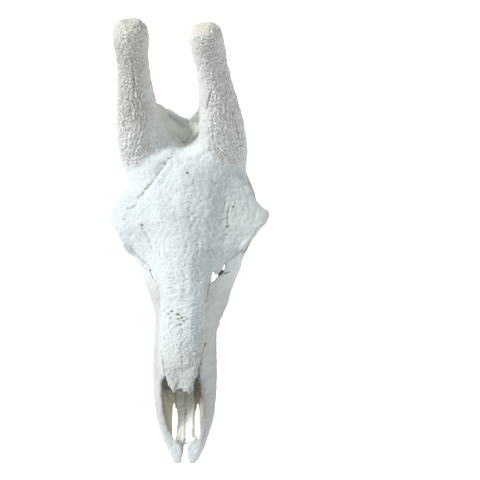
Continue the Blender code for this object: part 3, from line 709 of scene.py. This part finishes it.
# cracks, sutures and small holes, by their places on the picture
lines = {
    "cracks": (
        (((171.5, 157), (167, 161), (164.6, 165.4), (160, 171), (157, 175.5), (155.4, 179), (151, 184), (149.6, 186), (145, 190), (142.7, 194), (139, 197), (137, 200), (135.8, 205.7), (131, 208), (127, 209)), 1.1, 1.3, 0.22, 0.2, 2.0),
        (((190, 174.6), (192.5, 177), (194, 180.4), (193.5, 183), (192.3, 186)), 1.0, 1.0, 0.3, 0.4),
        (((209, 179.8), (212, 181), (216.5, 183.8)), 1.0, 1.2, 0.3, 0.4),
        (((144.4, 232.3), (148.5, 238), (150.8, 245), (152.5, 252)), 1.3, 1.3, 0.1, 0.3),
        (((225.7, 262.3), (232.6, 257.6), (241.9, 250.7), (250, 241.5)), 1.1, 1.4, 0.25, 0.5),
        (((265, 225), (259, 232.5), (252.5, 240), (247, 247.5), (243, 254)), 1.3, 1.0, 0.8, 0.5),
        (((220, 274.4), (224.6, 273.2), (230.3, 272)), 1.0, 1.4, 0.7, 0.3),
        (((209.5, 284), (208.3, 289), (207.6, 295), (206, 301)), 1.1, 1.4, 0.35, 0.2),
        (((203, 305), (201.9, 317), (201.6, 330), (201.9, 344)), 1.1, 0.9, 0.12, 0.3),
        (((206.3, 342.7), (203.4, 349), (201.9, 358), (200.6, 364.4)), 1.2, 1.4, 0.95, 0.75),
        (((200.6, 364.4), (199, 369), (198.9, 374)), 1.2, 2.2, 0.95, 0.1),
        (((158, 286), (159.5, 300), (160.8, 314.6), (160.4, 341.4)), 1.1, 0.9, 0.15, 0.3),
        (((161, 351.6), (162.7, 361.8), (164.4, 373)), 1.2, 1.2, 0.6, 0.8),
        (((178.5, 136), (182, 141), (185.5, 145)), 1.0, 1.4, 1.0, 0.2),
        (((183.5, 139.5), (184.5, 143)), 1.0, 1.2, 0.9, 0.2),
        (((184, 390), (183.2, 380), (182.5, 372), (182, 350)), 1.0, 0.9, 0.15, 0.3),
        (((185.4, 392), (185.2, 399), (185.4, 412), (185.0, 425), (184.6, 434), (184.8, 441)), 1.0, 2.2, 0.3, 0.1),
        (((133.6, 78), (134.4, 82), (134.2, 88)), 1.0, 1.6, 0.7, 0.1),
        (((130.5, 58), (132, 64), (133, 72), (133.6, 78)), 1.0, 1.1, 0.2, 0.5),
        (((131, 248), (137, 255), (143, 262), (149, 267)), 1.1, 1.4, 0.5, 0.7),
        (((136, 262), (141, 265), (147, 270)), 1.1, 1.3, 0.4, 0.6),
        (((211, 92), (208, 104), (205.6, 112)), 1.2, 1.8, 0.35, 0.2),
        (((231, 108), (236, 124), (241, 146)), 1.1, 1.4, 0.3, 0.4),
        (((229.6, 203), (228.4, 212), (227.6, 220), (226.6, 230)), 1.1, 1.0, 0.35, 0.5),
    ),
    "pits": (
        (187.7, 172.6, 1.7, 4.0, 1.0, 1.0),
        (233.8, 206.9, 1.3, 2.5, 0.9, 1.0),
        (235.5, 202.9, 1.0, 1.5, 0.7, 1.0),
        (225.2, 203.2, 0.9, 1.5, 0.6, 1.0),
        (142.1, 225.4, 1.9, 3.0, 0.8, 1.0),
        (142.6, 228.5, 1.0, 1.5, 0.5, 1.0),
        (227.8, 226.5, 1.7, 2.6, 0.8, 1.3),
        (226.3, 234.6, 1.2, 1.8, 0.8, 1.0),
        (207.9, 250.5, 1.1, 2.0, 0.8, 1.0),
        (123.6, 166.8, 1.3, 2.0, 0.8, 1.0),
        (124.2, 219, 1.2, 1.5, 0.5, 1.3),
        (126, 216, 1.0, 1.2, 0.4, 1.0),
        (149.6, 270.3, 1.8, 3.0, 0.9, 1.0),
        (145.8, 262, 1.3, 2.0, 0.6, 1.0),
        (168.3, 314, 1.4, 1.5, 0.9, 1.8),
        (171.9, 311.5, 1.3, 1.5, 0.9, 1.8),
        (170.6, 318.5, 1.2, 1.3, 0.8, 1.6),
        (178.3, 314.6, 1.5, 1.6, 0.9, 2.0),
        (178.3, 319.1, 1.3, 1.4, 0.8, 1.8),
        (182.1, 317.8, 1.2, 1.4, 0.9, 1.6),
        (184, 321, 1.3, 1.4, 0.8, 1.8),
        (180.8, 324.8, 1.3, 1.4, 0.8, 2.0),
        (184.6, 317.2, 1.0, 1.2, 0.8, 1.4),
        (177, 325.5, 1.1, 1.2, 0.7, 1.6),
        (187.2, 319.1, 1.1, 1.2, 0.8, 1.4),
    ),
}


nose = {
    "outline": ((163.6, 372), (161.8, 385), (163.4, 400), (166.2, 415), (170.4, 432), (173.4, 441), (195, 441), (203, 426), (207, 412), (205, 388), (198.5, 374)),
    "bars": ((175.2, 184.6), (186.2, 195)),
    "roof": 0.088,
}


# inside the nose: a tan stain made light enough to stand in for light the deep walls lack, painted shade on the far
# wall and under the nasal bones' edge, and painted light on the palatal bars
def noseStainShadeAndLight():
    place = pixelOf(skin.spots)
    inside = ramp(insideOf(place, nose["outline"]), 0, 1.5) * (skin.spots[:, 2] < nose["roof"])
    onBar = np.zeros(len(place))
    for low, high in nose["bars"]:
        onBar = np.maximum(onBar, ramp(place[:, 0], low - 0.8, low + 0.4) * (1 - ramp(place[:, 0], high - 0.4, high + 0.8)))
    farSide = ramp(place[:, 0], 192, 198) * (1 - onBar)
    # the tan stain, made light as painted light on the shaded walls
    skin.marks["stainAndPaintedLight"] = inside * (1 - farSide) * (1 - onBar * (0.55 + 0.45 * ramp(place[:, 1], 412, 422)))
    # painted light: the palatal bars are lightened where the walls' shadow falls on them
    skin.marks["paintedLight"] = inside * onBar * ramp(place[:, 1], 396, 424)
    # painted shadow on the far wall, which the nasal bones shade, and painted shade in a band under the nasal bones'
    # edge
    skin.marks["paintedNoseShade"] = inside * np.maximum(farSide, 0.8 * (1 - ramp(place[:, 1], 378, 396)) * (1 - onBar))


def drawLines():
    skin.refresh()
    for line in lines["cracks"]:
        crack(*line)
    for column, row, radius, depth, grimeAndShade, wide in lines["pits"]:
        pit(column, row, radius, depth, grimeAndShade, wide)
    print("cracks and holes drawn")


# the cheek teeth's gaps, folds, ribs and biting faces
teeth = {
    "start": -113.4,
    "lengths": (20, 21, 21, 27, 29, 28),
    "gumLine": 23.5,
    "gap": 1.9,
    "fold": 1.1,
    "rib": 0.9,
    "gum": 1.1,
    "ring": 1.3,
    "enamel": 0.75,
}


def carveTeeth():
    ends = teeth["start"] + np.cumsum((0, *teeth["lengths"]))
    long, high = skin.spots[:, 1] / mm, skin.spots[:, 2] / mm
    picked = np.nonzero((high < teeth["gumLine"] + 4) & (long > ends[0] - 2) & (long < ends[-1] + 2))[0]
    spots, facing, long, high = skin.spots[picked], skin.facing[picked], long[picked], high[picked]
    upright = 1 - ramp(np.abs(facing[:, 2]), 0.5, 0.8)
    crown = ramp(teeth["gumLine"] - high, -0.5, 1.5)
    gap = np.max([bump(long - end, 1.1) for end in ends], axis=0)
    fold = np.max([bump(long - (ends[k] + ends[k + 1]) / 2, 1.5) for k in (3, 4, 5)], axis=0)
    middles = [(ends[k] * (1 - at) + ends[k + 1] * at, teeth["lengths"][k]) for k in range(6) for at in ((0.5,) if k < 3 else (0.25, 0.75))]
    rib = np.max([bump(long - middle, 1.8) for middle, size in middles], axis=0)
    gum = bump(high - teeth["gumLine"], 1.0)
    height = crown * upright * (rib * teeth["rib"] - gap * teeth["gap"] - fold * teeth["fold"]) - gum * teeth["gum"]
    biting = ramp(-facing[:, 2], 0.4, 0.8) * (high < 5)
    ring = np.zeros(len(picked))
    for side in (-1, 1):
        for middle, size in middles:
            near = (np.sign(spots[:, 0]) == side) & (np.abs(long - middle) < 2) & (biting > 0.5)
            if near.any():
                across = spots[near, 0].mean() / mm
                away = np.hypot((spots[:, 0] / mm - across) / 6.5, (long - middle) / (4.2 if size > 22 else 6.0))
                ring = np.maximum(ring, bump(away - 0.75, 0.22) * (np.sign(spots[:, 0]) == side))
    height -= biting * ring * teeth["ring"]
    skin.spots[picked] += facing * height[:, None] * mm
    # painted shade in the gaps, folds and gum line; the dark rings on the biting faces are the teeth's own colour
    dark = np.maximum.reduce((gap * crown * upright, 0.45 * fold * crown * upright, 0.5 * gum, 0.7 * ring * biting))
    skin.marks["grimeAndShade"][picked] = np.maximum(skin.marks["grimeAndShade"][picked], dark * 0.9)
    skin.marks["pale"][picked] = np.maximum(skin.marks["pale"][picked], crown * teeth["enamel"])
    print("teeth carved")


# how closed in and how creased each point is, for the painted shade in hollows and creases and the painted highlight
# on crests
shelter = {
    "coarse": 0.003,
    "reach": 0.07,
    "tilts": ((0, 0), (0.6, 0), (-0.6, 0), (0, 0.6), (0, -0.6)),
    "wideTilts": ((1.6, 0), (-1.6, 0), (0, 1.6), (0, -1.6), (1.1, 1.1), (-1.1, 1.1), (1.1, -1.1), (-1.1, -1.1)),
    "creaseRounds": 5,
    "crease": 0.24,
}


def markHollowShade():
    # how closed in each point is, worked out on a coarser copy, and how creased the fine skin is, for painted shade in
    # hollows and creases
    rough = bpy.data.objects.new("rough", skull.data.copy())
    bpy.context.scene.collection.objects.link(rough)
    bpy.ops.object.select_all(action="DESELECT")
    rough.select_set(True)
    bpy.context.view_layer.objects.active = rough
    remesh = rough.modifiers.new("coarse", "REMESH")
    remesh.mode = "VOXEL"
    remesh.voxel_size = shelter["coarse"]
    bpy.ops.object.modifier_apply(modifier=remesh.name)
    bm = bmesh.new()
    bm.from_mesh(rough.data)
    tree = BVHTree.FromBMesh(bm)
    near = KDTree(len(bm.verts))
    closed = np.zeros(len(bm.verts))
    for k, vert in enumerate(bm.verts):
        near.insert(vert.co, k)
        side = vert.normal.orthogonal()
        other = vert.normal.cross(side)
        start = vert.co + vert.normal * 0.002
        # the eye sockets and the temples are wide and shallow, so on the skull's sides wider rays count too
        sideways = ramp(abs(vert.normal.x), 0.45, 0.8)
        for tilts, share in ((shelter["tilts"], 1), (shelter["wideTilts"], sideways)):
            if share:
                met = [
                    tree.ray_cast(start, (vert.normal + side * a + other * b).normalized(), shelter["reach"])[0] is not None
                    for a, b in tilts
                ]
                closed[k] = max(closed[k], share * sum(met) / len(met))
    near.balance()
    bm.free()
    bpy.data.objects.remove(rough)
    nearest = [near.find(spot)[1] for spot in skin.spots]
    hollow = skin.smoothed(closed[nearest], 12)
    skin.marks["hollow"] = hollow
    mean = skin.smoothed(skin.spots, shelter["creaseRounds"])
    crease = np.einsum("ij,ij->i", mean - skin.spots, skin.facing) / (shelter["crease"] * mm)
    skin.marks["hollow"] *= 1 - 0.9 * ramp(insideOf(pixelOf(skin.spots), nose["outline"]), 0, 1.5)
    skin.marks["crease"] = np.clip(skin.smoothed(crease, 1), -1, 1)
    print("hollows marked")


# bone finish
boneLook = {
    "white": (0.760, 0.830, 0.840, 1),
    "cool": (0.680, 0.755, 0.780, 1),
    "horn": (0.740, 0.755, 0.715, 1),
    # valley: painted shade on the braincase top between the horns
    "valley": (0.690, 0.705, 0.605, 1),
    "agedAndShade": (0.490, 0.485, 0.440, 1),
    "stainAndPaintedLight": (0.860, 0.800, 0.620, 1),
    "paintedNoseShade": (0.520, 0.465, 0.370, 1),
    "paintedLight": (0.950, 0.955, 0.900, 1),
    "shade": (0.500, 0.530, 0.520, 1),
    "crest": (0.860, 0.880, 0.850, 1),
    "knob": (0.720, 0.640, 0.500, 1),
    "hollowShadeTone": (0.330, 0.315, 0.270, 1),
    "tan": (0.400, 0.350, 0.240, 1),
    "brown": (0.230, 0.155, 0.080, 1),
    "roughness": (0.55, 0.8),
}


def boneFinish():
    paint = bpy.data.materials.new("bleachedBone")
    paint.use_nodes = True
    tree = paint.node_tree
    shader = tree.nodes["Principled BSDF"]
    place = tree.nodes.new("ShaderNodeTexCoord").outputs["Object"]

    def noiseOf(scale, detail, roughness=0.55):
        made = tree.nodes.new("ShaderNodeTexNoise")
        made.inputs["Scale"].default_value = scale
        made.inputs["Detail"].default_value = detail
        made.inputs["Roughness"].default_value = roughness
        tree.links.new(place, made.inputs["Vector"])
        return made.outputs["Fac"]

    def markOf(name):
        made = tree.nodes.new("ShaderNodeAttribute")
        made.attribute_name = name
        return made.outputs["Fac"]

    def mapped(value, low, high, start=0.0, end=1.0):
        made = tree.nodes.new("ShaderNodeMapRange")
        made.interpolation_type = "SMOOTHSTEP"
        for key, amount in (("From Min", low), ("From Max", high), ("To Min", start), ("To Max", end)):
            made.inputs[key].default_value = amount
        tree.links.new(value, made.inputs["Value"])
        return made.outputs["Result"]

    def worked(kind, one, two):
        made = tree.nodes.new("ShaderNodeMath")
        made.operation = kind
        made.use_clamp = True
        for k, value in enumerate((one, two)):
            if isinstance(value, (int, float)):
                made.inputs[k].default_value = value
            else:
                tree.links.new(value, made.inputs[k])
        return made.outputs[0]

    def mixed(share, one, two):
        made = tree.nodes.new("ShaderNodeMix")
        made.data_type = "RGBA"
        tree.links.new(share, made.inputs["Factor"])
        for socket, value in ((made.inputs[6], one), (made.inputs[7], two)):
            if isinstance(value, str):
                socket.default_value = boneLook[value]
            else:
                tree.links.new(value, socket)
        return made.outputs[2]

    cloud = noiseOf(18, 4)
    mottle = noiseOf(120, 4, 0.65)
    speck = noiseOf(420, 3, 0.7)
    colour = mixed(mapped(cloud, 0.35, 0.68), "white", "cool")
    colour = mixed(worked("MULTIPLY", mapped(mottle, 0.5, 0.75), 0.30), colour, "horn")
    hornShare = worked("MULTIPLY", markOf("horn"), mapped(mottle, 0.2, 0.8, 0.55, 1.0))
    colour = mixed(hornShare, colour, "horn")
    colour = mixed(worked("MULTIPLY", markOf("pale"), mapped(mottle, 0.3, 0.7, 0.4, 1.0)), colour, "knob")
    # greyer bone on the horns and muzzle, with painted shade under the knobs and on the forehead's far plane
    colour = mixed(worked("MULTIPLY", markOf("agedAndShade"), mapped(cloud, 0.25, 0.75, 0.7, 1.0)), colour, "agedAndShade")
    # painted shade on the braincase top between the horns
    colour = mixed(worked("MULTIPLY", markOf("valley"), 0.75), colour, "valley")
    # tan stain inside the nose, made light to stand in for the light its shaded walls lack
    colour = mixed(worked("MULTIPLY", markOf("stainAndPaintedLight"), mapped(mottle, 0.2, 0.8, 0.75, 1.0)), colour, "stainAndPaintedLight")
    # painted shade inside the nose: the far wall and the band under the nasal bones
    colour = mixed(worked("MULTIPLY", markOf("paintedNoseShade"), mapped(mottle, 0.2, 0.8, 0.6, 0.9)), colour, "paintedNoseShade")
    # painted light on the palatal bars
    colour = mixed(markOf("paintedLight"), colour, "paintedLight")
    # painted shade in hollows, darker the more closed in a point is
    colour = mixed(worked("MULTIPLY", mapped(markOf("hollow"), 0.3, 1.0), 0.85), colour, "hollowShadeTone")
    # painted shade in the creases of the fine skin
    creaseShade = worked("MULTIPLY", mapped(markOf("crease"), 0.1, 0.9), mapped(speck, 0.25, 0.7, 0.45, 0.85))
    colour = mixed(creaseShade, colour, "shade")
    # painted highlight on the horns' raised crests
    colour = mixed(worked("MULTIPLY", mapped(markOf("crease"), -0.1, -0.8, 0.0, 0.8), markOf("horn")), colour, "crest")
    # tan grime in the horns' grooves, laid over the same painted crease shade
    colour = mixed(worked("MULTIPLY", creaseShade, worked("MULTIPLY", markOf("horn"), 0.35)), colour, "tan")
    # grime in cracks and stained pits, with painted shade in holes, pores and the teeth's gaps
    colour = mixed(worked("MULTIPLY", markOf("grimeAndShade"), mapped(speck, 0.1, 0.7, 0.7, 1.0)), colour, "brown")
    tree.links.new(colour, shader.inputs["Base Color"])
    tree.links.new(mapped(mottle, 0.2, 0.8, *boneLook["roughness"]), shader.inputs["Roughness"])
    shader.inputs["Specular IOR Level"].default_value = 0.3
    bumps = tree.nodes.new("ShaderNodeBump")
    bumps.inputs["Strength"].default_value = 1.0
    bumps.inputs["Distance"].default_value = 0.0012
    tree.links.new(worked("ADD", worked("MULTIPLY", speck, 0.5), worked("MULTIPLY", mottle, 0.5)), bumps.inputs["Height"])
    tree.links.new(bumps.outputs["Normal"], shader.inputs["Normal"])
    return paint


def saveMarks(thing):
    for name, values in skin.marks.items():
        layer = thing.data.attributes.new(name, "FLOAT", "POINT")
        layer.data.foreach_set("value", values.astype(np.float32))
    layer = thing.data.attributes.new("facing", "FLOAT_VECTOR", "POINT")
    layer.data.foreach_set("vector", skin.facing.astype(np.float32).ravel())


def healSeams(mesh):
    # the points that the parting cuts made take their marks and their facing from the points beside them
    size = len(mesh.vertices)
    edges = np.empty(len(mesh.edges) * 2, np.int32)
    mesh.edges.foreach_get("vertices", edges)
    edges = edges.reshape(-1, 2)
    pairs = np.concatenate((edges, edges[:, ::-1]))
    table = np.empty((size, len(skin.marks) + 3), np.float32)
    for k, name in enumerate(skin.marks):
        column = np.empty(size, np.float32)
        mesh.attributes[name].data.foreach_get("value", column)
        table[:, k] = column
    facing = np.empty(size * 3, np.float32)
    mesh.attributes["facing"].data.foreach_get("vector", facing)
    table[:, -3:] = facing.reshape(-1, 3)
    known = np.linalg.norm(table[:, -3:], axis=1) > 0.5
    while True:
        pairs = pairs[~known[pairs[:, 1]]]
        used = pairs[known[pairs[:, 0]]]
        if not len(used):
            break
        count = np.bincount(used[:, 1], minlength=size)
        fresh = count > 0
        for k in range(table.shape[1]):
            table[fresh, k] = (np.bincount(used[:, 1], table[used[:, 0], k], size) / np.maximum(count, 1))[fresh]
        known |= fresh
    for k, name in enumerate(skin.marks):
        mesh.attributes[name].data.foreach_set("value", np.ascontiguousarray(table[:, k]))
    mesh.attributes.remove(mesh.attributes["facing"])
    return table[:, -3:]


def keepFacing(mesh, facing):
    # the skin is shaded as if it had never been parted, and the flat caps are left flat
    facing = facing / np.maximum(np.linalg.norm(facing, axis=1), 1e-6)[:, None]
    flat = np.empty(len(mesh.polygons) * 3, np.float32)
    mesh.polygons.foreach_get("normal", flat)
    count = np.empty(len(mesh.polygons), np.int32)
    mesh.polygons.foreach_get("loop_total", count)
    flat = np.repeat(flat.reshape(-1, 3), count, axis=0)
    ends = np.empty(len(mesh.loops), np.int32)
    mesh.loops.foreach_get("vertex_index", ends)
    facing = facing[ends]
    smooth = np.einsum("ij,ij->i", facing, flat) > 0.2
    mesh.normals_split_custom_set(np.where(smooth[:, None], facing, flat))


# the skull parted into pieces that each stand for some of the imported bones
parts = {
    "hornLeft": ("ossicone_left",),
    "hornRight": ("ossicone_right",),
    "muzzle": ("premaxilla_left", "premaxilla_right"),
    "faceLeft": ("maxilla_left", "nasal_bone_left", "lacrimal_left", "zygomatic_left"),
    "faceRight": ("maxilla_right", "nasal_bone_right", "lacrimal_right", "zygomatic_right", "vomer"),
    "roof": ("frontal_bone",),
    "braincaseLeft": ("braincase", "temporal_left", "palatine_bone"),
    "braincaseRight": ("occipital_bone", "temporal_right"),
}
seams = {
    "muzzle": -0.115,
    "face": 0.048,
    "roof": 0.148,
    "hornReach": 24,
    "bigger": 2.0,
}


def halfSpace(point, normal):
    # a block whose flat side lies at the point and that fills the side the normal points to
    size = seams["bigger"]
    bpy.ops.mesh.primitive_cube_add(size=size)
    block = bpy.context.object
    facing = Vector(normal).normalized()
    turn = facing.to_track_quat("Z", "Y").to_matrix().to_4x4()
    block.matrix_world = Matrix.Translation(Vector(point) + facing * size / 2) @ turn
    return block


def cutWith(thing, tool, operation):
    bpy.context.view_layer.update()
    step = thing.modifiers.new("part", "BOOLEAN")
    step.operation = operation
    step.solver = "MANIFOLD"
    step.object = tool
    bpy.context.view_layer.objects.active = thing
    bpy.ops.object.modifier_apply(modifier=step.name)


def halved(thing, point, normal, name):
    # the part of the thing on the side the normal points to, as a new piece, and the rest
    block = halfSpace(point, normal)
    piece = thing.copy()
    piece.data = thing.data.copy()
    piece.name = name
    bpy.context.scene.collection.objects.link(piece)
    cutWith(piece, block, "INTERSECT")
    cutWith(thing, block, "DIFFERENCE")
    bpy.data.objects.remove(block)
    return piece


def partedSkull():
    lean = math.radians(horns["lean"])
    axis = (0, math.cos(lean), math.sin(lean))
    foot = Vector((0, *horns["foot"])) + Vector(axis) * seams["hornReach"] * mm
    middle = (horns["middle"], 0, 0)
    pieces = {}
    snout = halved(skull, (0, seams["face"], 0), (0, -1, 0), "snout")
    pieces["muzzle"] = halved(snout, (0, seams["muzzle"], 0), (0, -1, 0), "muzzle")
    pieces["faceLeft"] = halved(snout, middle, (1, 0, 0), "faceLeft")
    snout.name = "faceRight"
    pieces["faceRight"] = snout
    both = halved(skull, foot, axis, "horns")
    pieces["hornLeft"] = halved(both, middle, (1, 0, 0), "hornLeft")
    both.name = "hornRight"
    pieces["hornRight"] = both
    pieces["roof"] = halved(skull, (0, 0, seams["roof"]), (0, 0, 1), "roof")
    pieces["braincaseLeft"] = halved(skull, middle, (1, 0, 0), "braincaseLeft")
    skull.name = "braincaseRight"
    pieces["braincaseRight"] = skull
    print("skull parted into", len(pieces), "pieces")
    return pieces


smoothFacets()
shapeFace()
sinkValley()
roughenHorns()
texturedFace()
drawLines()
noseStainShadeAndLight()
knobTop = ramp(hornReach(skin.spots), 138, 165) * ramp(skin.facing @ np.array(up), -0.3, 0.5)
skin.marks["pale"] = knobTop
carveTeeth()
skin.refresh()
markHollowShade()
saveMarks(skull)
bone = boneFinish()
for name, thing in partedSkull().items():
    thing.data.materials.clear()
    thing.data.materials.append(bone)
    thing.data.shade_smooth()
    keepFacing(thing.data, healSeams(thing.data))
    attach(thing, "root")
    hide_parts(*parts[name])
    print(name, sum(len(face.vertices) - 2 for face in thing.data.polygons), "triangles")
